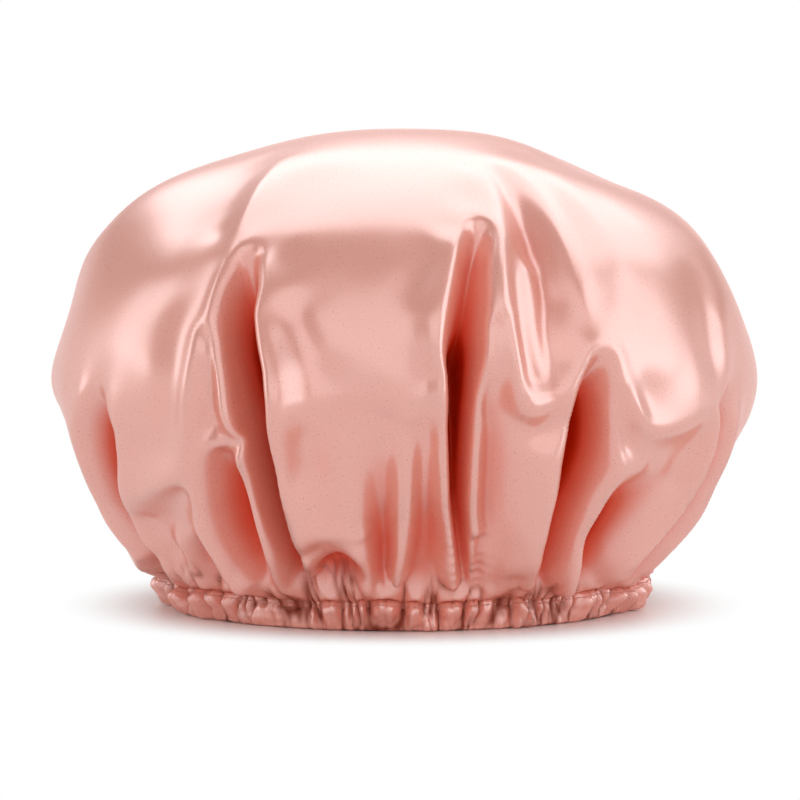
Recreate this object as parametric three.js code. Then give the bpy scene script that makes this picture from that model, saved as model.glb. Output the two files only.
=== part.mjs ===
// A double-layer satin shower cap, puffed up and standing on its elastic hem.
// Millimetres, +Z up. The origin is on the table under the middle of the cap, and the front faces -Y.
// Azimuths are degrees round the cap from the front, growing towards +X.
//
// The cap is two discs of material, satin outside and waterproof film inside. Their edges are gathered
// into the mouth of a folded satin binding that also holds the elastic, and a lockstitched seam shuts it.
import * as THREE from "three";

// The crown, puffed up
const crownWidth = 283;
const crownDepth = 278;
const crownHeight = 190;
const widestHeight = 92;

// The materials
const satinThickness = 0.6;
const filmThickness = 0.4;
const clearance = 0.4; // between layers that lie on each other
const airGap = 1.1; // between the satin and the film above the hem

// The elastic, a flat strip made a loop by lapping its ends
const elasticLoopLength = 570;
const elasticWidth = 6;
const elasticThickness = 0.9;
const elasticLap = 14;

// The binding, a strip of satin folded up round the elastic
const bindingHeight = 11.5;
const ruffleDepth = 1.5;
const ruffleCount = 52;
const edgeInsert = 2.8; // how far the gathered edges reach down into its mouth

// The threads
const threadDiameter = 0.5;
const seamBelowMouth = 1.5;
const zigzagWidth = 4;
const zigzagCount = 7;
const threadSides = 5;

// Two powers give the crown's outline: the dome above its widest ring and the tuck below it.
const domePower = 2.12;
const tuckPower = 1.3;

// The folds that gather the crown, left to right across the front and on round the back. A fold starts at
// its apex and runs down to its foot at the hem. apex and foot are azimuths, bend is how far its path
// swings aside between them, and half its half width, all in degrees. apexShare is the apex's height as
// a share of the crown's, depthShare the valley's depth as a share of the crown's half width, and deepest
// how far down its run the valley is deepest. Where the cloth is smooth, a fold has hardly any depth.
const folds = [
  { apex: -85, foot: -86, bend: 0, half: 5, apexShare: 0.5, depthShare: 0.01, deepest: 0.5 },
  { apex: -59, foot: -71, bend: 1, half: 7, apexShare: 0.45, depthShare: 0.12, deepest: 0.45 },
  { apex: -47, foot: -49, bend: 0, half: 5, apexShare: 0.2, depthShare: 0.07, deepest: 0.7 },
  { apex: -33, foot: -35.5, bend: 0, half: 5.5, apexShare: 0.36, depthShare: 0.12, deepest: 0.55 },
  { apex: -27.5, foot: -24.5, bend: 2.5, half: 4, apexShare: 0.74, depthShare: 0.21, deepest: 0.5 },
  { apex: -3.5, foot: -4, bend: 0, half: 4.5, apexShare: 0.44, depthShare: 0.14, deepest: 0.62 },
  { apex: 14, foot: 17, bend: -3.5, half: 5, apexShare: 0.79, depthShare: 0.18, deepest: 0.36 },
  { apex: 32, foot: 36, bend: -1.5, half: 5.2, apexShare: 0.51, depthShare: 0.19, deepest: 0.45 },
  { apex: 50, foot: 49.5, bend: -3, half: 6, apexShare: 0.31, depthShare: 0.1, deepest: 0.6 },
  { apex: 63.5, foot: 68, bend: -1, half: 4, apexShare: 0.47, depthShare: 0.055, deepest: 0.5 },
  { apex: 84, foot: 84, bend: 0, half: 5, apexShare: 0.5, depthShare: 0.01, deepest: 0.5 },
  { apex: 101, foot: 100, bend: 0, half: 4.5, apexShare: 0.35, depthShare: 0.1, deepest: 0.45 },
  { apex: 115, foot: 112, bend: 0, half: 5, apexShare: 0.57, depthShare: 0.16, deepest: 0.42 },
  { apex: 128, foot: 126, bend: 0, half: 4.5, apexShare: 0.41, depthShare: 0.12, deepest: 0.42 },
  { apex: 143, foot: 141, bend: 0, half: 5.5, apexShare: 0.7, depthShare: 0.19, deepest: 0.4 },
  { apex: 156, foot: 158, bend: 0, half: 4.5, apexShare: 0.31, depthShare: 0.1, deepest: 0.45 },
  { apex: 171, foot: 172, bend: 0, half: 5, apexShare: 0.59, depthShare: 0.16, deepest: 0.42 },
  { apex: 184, foot: 187, bend: 0, half: 4.5, apexShare: 0.37, depthShare: 0.12, deepest: 0.42 },
  { apex: 197, foot: 203, bend: 0, half: 5, apexShare: 0.74, depthShare: 0.18, deepest: 0.4 },
  { apex: 212, foot: 214, bend: 0, half: 5, apexShare: 0.55, depthShare: 0.15, deepest: 0.42 },
  { apex: 226, foot: 231, bend: 0, half: 4.5, apexShare: 0.33, depthShare: 0.11, deepest: 0.45 },
  { apex: 241, foot: 247, bend: 0, half: 5, apexShare: 0.67, depthShare: 0.17, deepest: 0.4 },
  { apex: 257, foot: 260, bend: 0, half: 4.5, apexShare: 0.44, depthShare: 0.11, deepest: 0.42 },
];
const firstTop = -84; // where the first fold's columns reach the top, the others following evenly
const lipShare = 0.12; // how far a fold's lips stand proud, as a share of its depth
const openingTurn = 0.87 * Math.PI; // a fold's depth follows a sine that has turned this far at the hem
const apexHalfShare = 0.5; // a fold's half width at its apex, as a share of its full one
const ringShares = [0.965, 0.86, 0.69, 0.495, 0.35, 0.22, 0.11]; // heights of the crown's rings

// Sizes that follow from those above
const elasticRadius = elasticLoopLength / (2 * Math.PI);
const threadRadius = threadDiameter / 2;
const mouthHalf = (3 * clearance + satinThickness + filmThickness) / 2;
const satinNeck = elasticRadius + mouthHalf - clearance;
const filmNeck = satinNeck - satinThickness - clearance;
const neckHeight = bindingHeight + clearance;
const edgeHeight = bindingHeight - edgeInsert;
const lapHalf = elasticThickness + clearance / 2;
const elasticFoot = satinThickness + clearance;
const elasticTop = elasticFoot + elasticWidth;
const bellyHalf = lapHalf + clearance + threadDiameter + clearance + ruffleDepth + satinThickness;
const seamHeight = bindingHeight - seamBelowMouth;
const nipHeight = seamHeight - threadDiameter;

const { degToRad, lerp, clamp, smoothstep } = THREE.MathUtils;

// A point round the cap, at an azimuth, a radius and a height.
function at(azimuth, radius, height) {
  const turn = degToRad(azimuth);
  return new THREE.Vector3(radius * Math.sin(turn), -radius * Math.cos(turn), height);
}

// The crown's half width at a height: a superellipse above the widest ring, and below it a tuck to the neck.
function halfWidthAt(height, widest) {
  if (height >= widestHeight) {
    const rise = Math.min(1, (height - widestHeight) / (crownHeight - widestHeight));
    return widest * (1 - rise ** domePower) ** (1 / domePower);
  }
  const drop = Math.min(1, (widestHeight - height) / (widestHeight - neckHeight));
  return satinNeck + (widest - satinNeck) * Math.sqrt(1 - drop ** tuckPower);
}

// The outline's radius at an azimuth and a height: an ellipse of the half width and the half depth there.
function outlineRadius(azimuth, height) {
  const across = halfWidthAt(height, crownWidth / 2);
  const deep = halfWidthAt(height, crownDepth / 2);
  const turn = degToRad(azimuth);
  return 1 / Math.hypot(Math.sin(turn) / across, Math.cos(turn) / deep);
}

// The direction into the cap, square to the outline in the plane of an azimuth.
function inwardAt(azimuth, height) {
  const upper = lerp(height, crownHeight, 0.05);
  const lower = lerp(height, neckHeight, 0.05);
  const run = outlineRadius(azimuth, upper) - outlineRadius(azimuth, lower);
  return at(azimuth, lower - upper, run).normalize();
}

// Columns of points run down each fold: its left lip, its valley and its right lip. At the hem, and again
// at the top, the lips stand at the thirds of the way to the neighbouring folds.
function columnsOf(azimuths) {
  return azimuths.flatMap((azimuth, i) => {
    const before = i > 0 ? azimuths[i - 1] : azimuths.at(-1) - 360;
    const after = i < azimuths.length - 1 ? azimuths[i + 1] : azimuths[0] + 360;
    return [lerp(azimuth, before, 1 / 3), azimuth, lerp(azimuth, after, 1 / 3)];
  });
}

const footColumns = columnsOf(folds.map((fold) => fold.foot));
const topColumns = columnsOf(folds.map((_, i) => firstTop + (360 / folds.length) * i));

// A fold's three points on one ring of the crown.
function foldPoints(fold, index, height) {
  const apexHeight = fold.apexShare * crownHeight;
  const below = clamp((apexHeight - height) / (apexHeight - neckHeight), 0, 1);
  const above = clamp((height - apexHeight) / (crownHeight - apexHeight), 0, 1);
  const pace = Math.log(Math.PI / 2 / openingTurn) / Math.log(fold.deepest);
  const open = Math.sin(openingTurn * below ** pace);
  const depth = (fold.depthShare * crownWidth * open) / 2;
  const valley = lerp(fold.apex, fold.foot, smoothstep(below, 0, 1)) + fold.bend * Math.sin(Math.PI * below);
  return [-1, 0, 1].map((side) => {
    const column = 3 * index + 1 + side;
    const narrow = valley + side * fold.half * lerp(apexHalfShare, 1, open);
    const gathered = lerp(narrow, footColumns[column], below ** 4);
    const azimuth = lerp(gathered, topColumns[column], above);
    const point = at(azimuth, outlineRadius(azimuth, height), height);
    return point.addScaledVector(inwardAt(azimuth, height), side === 0 ? depth : -lipShare * depth);
  });
}

// The satin's outside, as rings from the top down. The last two stand straight in the binding's mouth.
function crownGrid() {
  const rings = ringShares.map((share) => {
    return folds.flatMap((fold, i) => foldPoints(fold, i, share * crownHeight));
  });
  const neck = [neckHeight, edgeHeight].map((height) => footColumns.map((a) => at(a, satinNeck, height)));
  return { top: new THREE.Vector3(0, 0, crownHeight), rings: [...rings, ...neck] };
}

// The triangles of a grid's skin: a fan round the top, and two triangles for each cell below it.
function skinOf(grid) {
  const columns = grid.rings[0].length;
  const corner = (ring, column) => 1 + ring * columns + (column % columns);
  const faces = [];
  for (let column = 0; column < columns; column++) {
    faces.push([0, corner(0, column), corner(0, column + 1)]);
    for (let ring = 1; ring < grid.rings.length; ring++) {
      const [a, b] = [corner(ring - 1, column), corner(ring - 1, column + 1)];
      const [c, d] = [corner(ring, column), corner(ring, column + 1)];
      faces.push([a, c, d], [a, d, b]);
    }
  }
  return { points: [grid.top, ...grid.rings.flat()], faces };
}

// A grid moved into the cap by a distance. A point on a crease moves further, so that the faces beside it
// clear the distance too. The neck's two rings stand straight at their own radius.
function inset(grid, distance, neckRadius) {
  const { points, faces } = skinOf(grid);
  const touching = points.map(() => []);
  faces.forEach((face) => {
    const [a, b, c] = face.map((i) => points[i]);
    const normal = b.clone().sub(a).cross(c.clone().sub(a)).normalize();
    face.forEach((i) => touching[i].push(normal));
  });
  const moved = points.map((point, i) => {
    const mean = touching[i].reduce((sum, normal) => sum.add(normal), new THREE.Vector3()).normalize();
    const sharpest = Math.max(0.5, Math.min(...touching[i].map((normal) => normal.dot(mean))));
    return point.clone().addScaledVector(mean, -distance / sharpest);
  });
  const columns = footColumns.length;
  const rings = grid.rings.slice(0, -2).map((_, r) => moved.slice(1 + r * columns, 1 + (r + 1) * columns));
  const neck = grid.rings.slice(-2).map(([{ z }]) => footColumns.map((azimuth) => at(azimuth, neckRadius, z)));
  return { top: moved[0], rings: [...rings, ...neck] };
}

function geometryOf(points, faces) {
  const geometry = new THREE.BufferGeometry();
  geometry.setAttribute("position", new THREE.Float32BufferAttribute(points.flatMap((p) => p.toArray()), 3));
  geometry.setIndex(faces.flat());
  geometry.computeVertexNormals();
  return geometry;
}

// A closed shell between two grids, whose last rings are joined by a rim.
function shellBetween(outside, inside) {
  const outer = skinOf(outside);
  const inner = skinOf(inside);
  const shift = outer.points.length;
  const faces = [...outer.faces, ...inner.faces.map(([a, b, c]) => [a + shift, c + shift, b + shift])];
  const columns = outside.rings[0].length;
  const firstOfRim = shift - columns;
  for (let column = 0; column < columns; column++) {
    const [a, b] = [firstOfRim + column, firstOfRim + ((column + 1) % columns)];
    faces.push([a, b + shift, b], [a, a + shift, b + shift]);
  }
  return geometryOf([...outer.points, ...inner.points], faces);
}

// A bar through a list of sections round the cap, each a loop of as many points that goes up its outer
// side and down its inner one. It closes on itself like a ring, or ends in two flat caps.
function barThrough(sections, closed) {
  const count = sections[0].length;
  const bays = closed ? sections.length : sections.length - 1;
  const faces = [];
  for (let bay = 0; bay < bays; bay++) {
    const here = bay * count;
    const next = ((bay + 1) % sections.length) * count;
    for (let i = 0; i < count; i++) {
      const j = (i + 1) % count;
      faces.push([here + i, next + i, next + j], [here + i, next + j, here + j]);
    }
  }
  const last = bays * count;
  for (let i = 1; !closed && i < count - 1; i++) {
    faces.push([0, i, i + 1], [last, last + i + 1, last + i]);
  }
  return geometryOf(sections.flat(), faces);
}

// The stations of the ruffled binding, a crest and a valley by turns, uneven as hand-fed gathers are.
const stations = Array.from({ length: 2 * ruffleCount }, (_, i) => {
  const uneven = 0.7 + 0.3 * Math.sin(2.4 * i) * Math.cos(0.9 * i + 1);
  return { azimuth: (180 / ruffleCount) * i, ruffle: (i % 2 === 0 ? 1 : -1) * ruffleDepth * uneven };
});

// The binding's inner face leans straight from its mouth to the table.
function bindingInside(height) {
  return elasticRadius - lerp(bellyHalf, mouthHalf + satinThickness, height / bindingHeight);
}

// Up the ruffled outside, which bellies round the elastic and is nipped in by the seam, over the mouth's
// lip and down round the elastic, then up the inner side of the mouth and down the inside.
function bindingSection({ azimuth, ruffle }) {
  const wall = satinThickness;
  const belly = elasticRadius + bellyHalf + ruffle;
  const mouth = elasticRadius + mouthHalf + wall;
  const outline = [
    [belly, 0],
    [belly, elasticTop],
    [mouth, nipHeight],
    [mouth, bindingHeight],
    [mouth - wall, bindingHeight],
    [mouth - wall, nipHeight],
    [belly - wall, elasticTop],
    [belly - wall, wall],
    [bindingInside(wall) + wall, wall],
    [bindingInside(bindingHeight) + wall, bindingHeight],
    [bindingInside(bindingHeight), bindingHeight],
    [bindingInside(0), 0],
  ];
  return outline.map(([radius, height]) => at(azimuth, radius, height));
}

// The elastic winds outwards by its own thickness and a clearance, so that its ends lap at the back.
function elasticSections() {
  const lapAngle = (360 * elasticLap) / elasticLoopLength;
  const climb = elasticThickness + clearance;
  return Array.from({ length: stations.length + 1 }, (_, i) => {
    const share = i / stations.length;
    const azimuth = 180 - lapAngle / 2 + (360 + lapAngle) * share;
    const inside = elasticRadius + climb * (share - 1 / 2) - elasticThickness / 2;
    const outside = inside + elasticThickness;
    const outline = [
      [outside, elasticFoot],
      [outside, elasticTop],
      [inside, elasticTop],
      [inside, elasticFoot],
    ];
    return outline.map(([radius, height]) => at(azimuth, radius, height));
  });
}

// One thread of the seam, a round at a radius.
function seamThread(radius) {
  const sections = stations.map(({ azimuth }) => {
    return Array.from({ length: threadSides }, (_, i) => {
      const turn = (2 * Math.PI * i) / threadSides;
      return at(azimuth, radius + threadRadius * Math.cos(turn), seamHeight + threadRadius * Math.sin(turn));
    });
  });
  return barThrough(sections, true);
}

// The thread that joins the lap: a zigzag over its outer face, then over the top edge and back inside.
function lapThread() {
  const reach = lapHalf + clearance + threadRadius;
  const middle = (elasticFoot + elasticTop) / 2;
  const halfTurn = (360 * (elasticLap - zigzagWidth)) / (2 * elasticLoopLength);
  const zigzag = (side) => {
    return Array.from({ length: zigzagCount + 1 }, (_, i) => {
      const rise = ((i % 2 === 0 ? -side : side) * zigzagWidth) / 2;
      const azimuth = 180 + side * lerp(-halfTurn, halfTurn, i / zigzagCount);
      return at(azimuth, elasticRadius + side * reach, middle + rise);
    });
  };
  const overTop = [1, -1].map((side) => {
    const radius = elasticRadius + side * (lapHalf + clearance);
    return at(180 + halfTurn, radius, elasticTop + clearance + threadRadius);
  });
  const path = new THREE.CatmullRomCurve3([...zigzag(1), ...overTop, ...zigzag(-1)], false, "centripetal");
  const section = new THREE.Shape().absellipse(0, 0, threadRadius, threadRadius, 0, 2 * Math.PI);
  return new THREE.ExtrudeGeometry(section, {
    steps: 6 * zigzagCount,
    curveSegments: threadSides,
    extrudePath: path,
  });
}

const satinOutside = crownGrid();
const satinInside = inset(satinOutside, satinThickness, satinNeck - satinThickness);
const filmOutside = inset(satinOutside, satinThickness + airGap, filmNeck);
const filmInside = inset(filmOutside, filmThickness, filmNeck - filmThickness);
const seamOutside = elasticRadius + mouthHalf + satinThickness + clearance + threadRadius;
const seamInside = bindingInside(seamHeight) - clearance - threadRadius;

const satin = new THREE.MeshStandardMaterial({ color: "#e3a091", roughness: 0.35, metalness: 0 });
const film = new THREE.MeshStandardMaterial({ color: "#f2ece8", roughness: 0.3, metalness: 0 });
const elastic = new THREE.MeshStandardMaterial({ color: "#f1eee9", roughness: 0.9, metalness: 0 });
const thread = new THREE.MeshStandardMaterial({ color: "#dc9686", roughness: 0.6, metalness: 0 });

function piece(name, geometry, material) {
  const mesh = new THREE.Mesh(geometry, material);
  mesh.name = name;
  return mesh;
}

const cap = new THREE.Group();
cap.add(
  piece("satin_crown", shellBetween(satinOutside, satinInside), satin),
  piece("waterproof_lining", shellBetween(filmOutside, filmInside), film),
  piece("hem_binding", barThrough(stations.map(bindingSection), true), satin),
  piece("elastic_band", barThrough(elasticSections(), false), elastic),
  piece("elastic_lap_thread", lapThread(), thread),
  piece("seam_needle_thread", seamThread(seamOutside), thread),
  piece("seam_bobbin_thread", seamThread(seamInside), thread),
);
export default cap;
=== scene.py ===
"""A rose-pink satin shower cap, puffed up and standing on its gathered elastic hem, as a product photograph.

Shapes are worked out in millimetres, with the front at -Y and azimuths growing towards +X, and every mesh
is written in metres. Pixels are places in the 800 pixel square photograph.
"""

import bpy
import numpy as np
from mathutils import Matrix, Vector


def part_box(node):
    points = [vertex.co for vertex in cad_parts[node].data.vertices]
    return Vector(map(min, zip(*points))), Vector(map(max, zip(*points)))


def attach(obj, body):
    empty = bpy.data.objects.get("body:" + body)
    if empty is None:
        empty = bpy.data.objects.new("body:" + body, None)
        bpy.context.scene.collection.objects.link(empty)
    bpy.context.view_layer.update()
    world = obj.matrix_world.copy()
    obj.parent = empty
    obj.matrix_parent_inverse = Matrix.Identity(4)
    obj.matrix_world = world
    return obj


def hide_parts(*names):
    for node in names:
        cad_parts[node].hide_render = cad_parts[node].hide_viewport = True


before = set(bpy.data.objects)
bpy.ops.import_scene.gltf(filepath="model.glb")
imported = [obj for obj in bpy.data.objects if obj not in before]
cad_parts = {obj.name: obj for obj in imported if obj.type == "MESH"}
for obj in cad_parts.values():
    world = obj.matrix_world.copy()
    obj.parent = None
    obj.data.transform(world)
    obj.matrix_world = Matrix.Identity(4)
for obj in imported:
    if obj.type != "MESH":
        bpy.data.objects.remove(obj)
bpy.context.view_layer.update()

MM = 0.001

# Sizes of the cap, in millimetres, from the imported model
crown_low, crown_high = (np.array(corner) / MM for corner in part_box("satin_crown"))
elastic_low, elastic_high = (np.array(corner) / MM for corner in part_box("elastic_band"))
HEM_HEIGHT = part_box("hem_binding")[1][2] / MM
NECK_RADIUS = (elastic_high[0] - elastic_low[0]) / 2
ELASTIC_MIDDLE = (elastic_low[2] + elastic_high[2]) / 2
CREST = 2.4  # how far crests stand out past the outline
HALF_WIDTH = (crown_high[0] - crown_low[0]) / 2 - CREST
HALF_DEPTH = (crown_high[1] - crown_low[1]) / 2 - 1.5 * CREST
HEIGHT = crown_high[2]

# The outline of the crown: its widest ring, the powers of the dome above it and of the tuck below it, and
# the radius at which it meets the binding
WIDEST_HEIGHT = 92.0
DOME_POWER = 2.12
TUCK_POWER = 1.55
TUCK_ROUND = 0.72
SEAM_RADIUS = 94.6

# The camera of the photograph
PICTURE = 800
MM_PER_PIXEL = 0.4
CENTRE_COLUMN = 402
FLOOR_ROW = 603.5
CAMERA_DISTANCE = 2000.0
CAMERA_LIFT = np.radians(4.6)
SENSOR_MM = 36.0


# Places on the cap


def around(azimuth, radius, height):
    """The points at azimuths in degrees, radii and heights: x is r sin a, y is minus r cos a."""
    turn = np.radians(azimuth)
    return np.stack(np.broadcast_arrays(radius * np.sin(turn), -radius * np.cos(turn), height), -1)


def meridian(steps=400):
    """Radii and heights down the outline, from the pole to the hem's seam: a quarter of a superellipse to
    the widest ring, then a tuck whose radius falls with a power of one minus a power of the drop."""
    turn = np.linspace(0, np.pi / 2, steps)
    dome_radius = HALF_WIDTH * np.sin(turn) ** (2 / DOME_POWER)
    dome_height = WIDEST_HEIGHT + (HEIGHT - WIDEST_HEIGHT) * np.cos(turn) ** (2 / DOME_POWER)
    drop = np.sin(turn[1:])
    tuck_radius = SEAM_RADIUS + (HALF_WIDTH - SEAM_RADIUS) * (1 - drop**TUCK_POWER) ** TUCK_ROUND
    tuck_height = WIDEST_HEIGHT - drop * (WIDEST_HEIGHT - HEM_HEIGHT)
    return np.append(dome_radius, tuck_radius), np.append(dome_height, tuck_height)


RADII, HEIGHTS = meridian()
ARCS = np.append(0, np.cumsum(np.hypot(np.diff(RADII), np.diff(HEIGHTS))))
SLOPE_OUT = np.gradient(HEIGHTS, ARCS)
SLOPE_UP = np.gradient(RADII, ARCS)


def crown_point(azimuth, arc, lift=0.0):
    """The outline's point at an azimuth and a length of arc from the pole, lifted along its normal. In plan
    the radius is that of an ellipse through the half width and the half depth."""
    radius = np.interp(arc, ARCS, RADII)
    out = -np.interp(arc, ARCS, SLOPE_OUT)
    up = np.interp(arc, ARCS, SLOPE_UP)
    turn = np.radians(azimuth)
    bulge = np.clip(radius - SEAM_RADIUS, 0, None) / np.maximum(radius, 1)
    deep = 1 - bulge * (HALF_WIDTH - HALF_DEPTH) / (HALF_WIDTH - SEAM_RADIUS)
    plan = 1 / np.hypot(np.sin(turn), np.cos(turn) / deep)
    return around(azimuth, radius * plan + lift * out, np.interp(arc, ARCS, HEIGHTS) + lift * up)


def arc_at_height(height):
    """The arc at which the outline comes down to a height."""
    return np.interp(-np.asarray(height, float), -HEIGHTS, ARCS)


RAY_STEPS = 80


def seen_on_crown(column, row, lift=0.0):
    """The azimuth and arc of the outline, lifted by so much, that the photograph shows at a pixel. The
    camera's ray is followed to the outline by stepping its y until the radius there is the outline's."""
    column, row, lift = np.broadcast_arrays(np.asarray(column, float), np.asarray(row, float), lift)
    sine, cosine = np.sin(CAMERA_LIFT), np.cos(CAMERA_LIFT)
    middle = (FLOOR_ROW - PICTURE / 2) * MM_PER_PIXEL
    across = (column - CENTRE_COLUMN) * MM_PER_PIXEL
    above = (PICTURE / 2 - row) * MM_PER_PIXEL
    y = np.full(column.shape, -0.9 * HALF_WIDTH)
    height = middle + above
    arc = arc_at_height(np.clip(height, HEM_HEIGHT, HEIGHT - 4))
    for _ in range(RAY_STEPS):
        near = 1 + (y * cosine - (height - middle / cosine) * sine) / CAMERA_DISTANCE
        x = across * near
        height = (middle + above * near - y * sine) / cosine
        on_outline = np.clip(height - lift * np.interp(arc, ARCS, SLOPE_UP), HEM_HEIGHT, HEIGHT - 1)
        arc = 0.5 * arc + 0.5 * arc_at_height(on_outline)
        radius = np.interp(arc, ARCS, RADII) - lift * np.interp(arc, ARCS, SLOPE_OUT)
        reach = np.sqrt(np.maximum(radius**2 - x**2, (0.12 * radius) ** 2))
        y = 0.7 * y - 0.3 * reach * HALF_DEPTH / HALF_WIDTH
    return np.degrees(np.arctan2(x, -y)), arc


# How round the cloth is over a mark, in millimetres: on a lip, over a floor and on a panel
LIP, FLOOR, PANEL = 2.2, 4.0, 9.0

# The folds. A pocket's rows give the picture row, the columns of its left and right lip, the depth of its
# floor in millimetres and how far along the way from lip to lip the floor lies. Its lips are how far they
# stand out, one value or one a row, and soft is how round they are. A pocket whose red the photograph shows
# although its floor is turned away gets painted shade: millimetres of depth added to its colour alone,
# reddening it as light bounced about in the fold would.
POCKETS = {
    "tall pleat on the left": dict(soft=(2.6, 2.3), lips=(
        (1.5, 3, 4, 4, 4, 3.5, 3.5, 3.5, 3.5, 3.5, 3, 2, 1),
        (2, 3, 3, 3, 3, 3, 3, 3, 2.5, 2.5, 2.5, 2, 1),
    ), rows=[
        (258, 241, 256, 2, 0.5), (270, 230, 258, 8, 0.55), (290, 219, 258, 14, 0.6),
        (315, 216, 254, 19, 0.66), (345, 217, 258, 24, 0.7), (375, 225, 266, 27, 0.78),
        (405, 235, 271, 29, 0.82), (433, 245, 274, 29, 0.85), (462, 252, 278, 28, 0.85),
        (492, 261, 282, 26, 0.82), (525, 271, 290, 21, 0.76), (556, 280, 300, 16, 0.7),
        (582, 286, 307, 12, 0.65),
    ]),
    "tall pleat right of the middle": dict(soft=(1.6, 3.5), lips=(
        (4, 4, 4, 4, 4, 4, 4, 4, 3, 3, 2.5, 2, 2, 1, 0),
        (3, 3, 3, 3, 3, 2.5, 1.5, 0, -2, -3, -3, -3, -3, -3, -2),
    ), rows=[
        (230, 468, 487, 2, 0.5), (241, 461, 492, 8, 0.5), (262, 457, 490, 10, 0.45),
        (290, 453, 490, 12, 0.4), (320, 449, 489, 15, 0.32), (342, 446, 488, 18, 0.24),
        (357, 445, 485, 20, 0.22), (376, 448, 480, 19, 0.2), (400, 449, 476, 17, 0.2),
        (430, 448, 472, 16, 0.2), (470, 449, 469, 15, 0.24), (510, 450, 467, 15, 0.28),
        (545, 454, 468, 14, 0.34), (575, 457, 470, 13, 0.4), (592, 458, 472, 9, 0.5),
    ]),
    "deep pleat on the right": dict(soft=(1.6, 4.0), lips=(
        (3, 3, 2.5, 2, 2, 2, 2, 2, 1, 0),
        (2, 2, 1.5, 1, 1, 1, 1, 0.5, 0, 0),
    ), rows=[
        (368, 589, 606, 5, 0.5), (386, 580, 611, 13, 0.58), (410, 573, 615, 21, 0.6),
        (438, 567, 615, 26, 0.6), (465, 562, 611, 28, 0.58), (492, 558, 602, 27, 0.54),
        (520, 551, 588, 23, 0.48), (548, 544, 573, 20, 0.45), (575, 537, 557, 16, 0.42),
        (592, 533, 548, 10, 0.4),
    ]),
    "soft pocket in the middle": dict(soft=(6.0, 2.2), lips=(0.0, 2.5), rows=[
        (418, 356, 394, 1, 0.6), (434, 350, 400, 2, 0.66), (456, 352, 402, 3.5, 0.66),
        (485, 357, 402, 5.5, 0.64), (525, 362, 401, 8.5, 0.6), (560, 369, 398, 11, 0.58),
        (588, 375, 393, 10, 0.55),
    ]),
    "lower left pocket": dict(soft=(2.8, 9.0), lips=(4.0, 1.0), rows=[
        (452, 206, 230, 3, 0.42), (468, 198, 243, 7, 0.4), (492, 196, 252, 10, 0.4),
        (520, 201, 258, 13, 0.4), (548, 213, 264, 14, 0.4), (575, 231, 272, 12, 0.44),
        (590, 246, 278, 8, 0.5),
    ]),
    "pocket at the far left": dict(soft=(2.6, 2.0), painted_shade=6, lips=(3.0, 2.0), rows=[
        (400, 82, 103, 3, 0.5), (415, 77, 108, 8, 0.6), (432, 76, 113, 12, 0.65), (458, 81, 117, 14, 0.72),
        (484, 91, 120, 15, 0.75), (505, 101, 125, 15, 0.68), (522, 113, 131, 12, 0.64),
        (540, 127, 141, 8, 0.6), (560, 142, 157, 5, 0.5), (585, 157, 174, 4, 0.5),
    ]),
    "small pocket at the foot, left": dict(soft=(4.0, 2.6), lips=(1.0, 2.0), rows=[
        (540, 176, 198, 2, 0.6), (555, 184, 212, 7, 0.65), (572, 194, 222, 11, 0.65),
        (588, 206, 232, 6, 0.6),
    ]),
    "pocket under the right ledge": dict(soft=(2.2, 9.0), painted_shade=3, lips=(2.0, 0.0), rows=[
        (470, 646, 688, 2, 0.45), (482, 622, 684, 5, 0.38), (495, 608, 674, 8, 0.34),
        (512, 597, 660, 12, 0.3), (530, 587, 644, 15, 0.28), (548, 583, 628, 16, 0.28),
        (565, 581, 614, 14, 0.3), (580, 576, 602, 13, 0.35), (592, 572, 594, 9, 0.4),
    ]),
    "narrow fold at the far right": dict(soft=(3.0, 3.0), painted_shade=6, lips=(3.0, 2.5), rows=[
        (404, 722, 738, 3, 0.5), (420, 720, 735, 6, 0.5), (450, 714, 726, 8, 0.5), (480, 702, 713, 8, 0.5),
        (510, 684, 695, 8, 0.5), (545, 656, 670, 7, 0.5), (575, 630, 645, 4, 0.5),
    ]),
}

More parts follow.
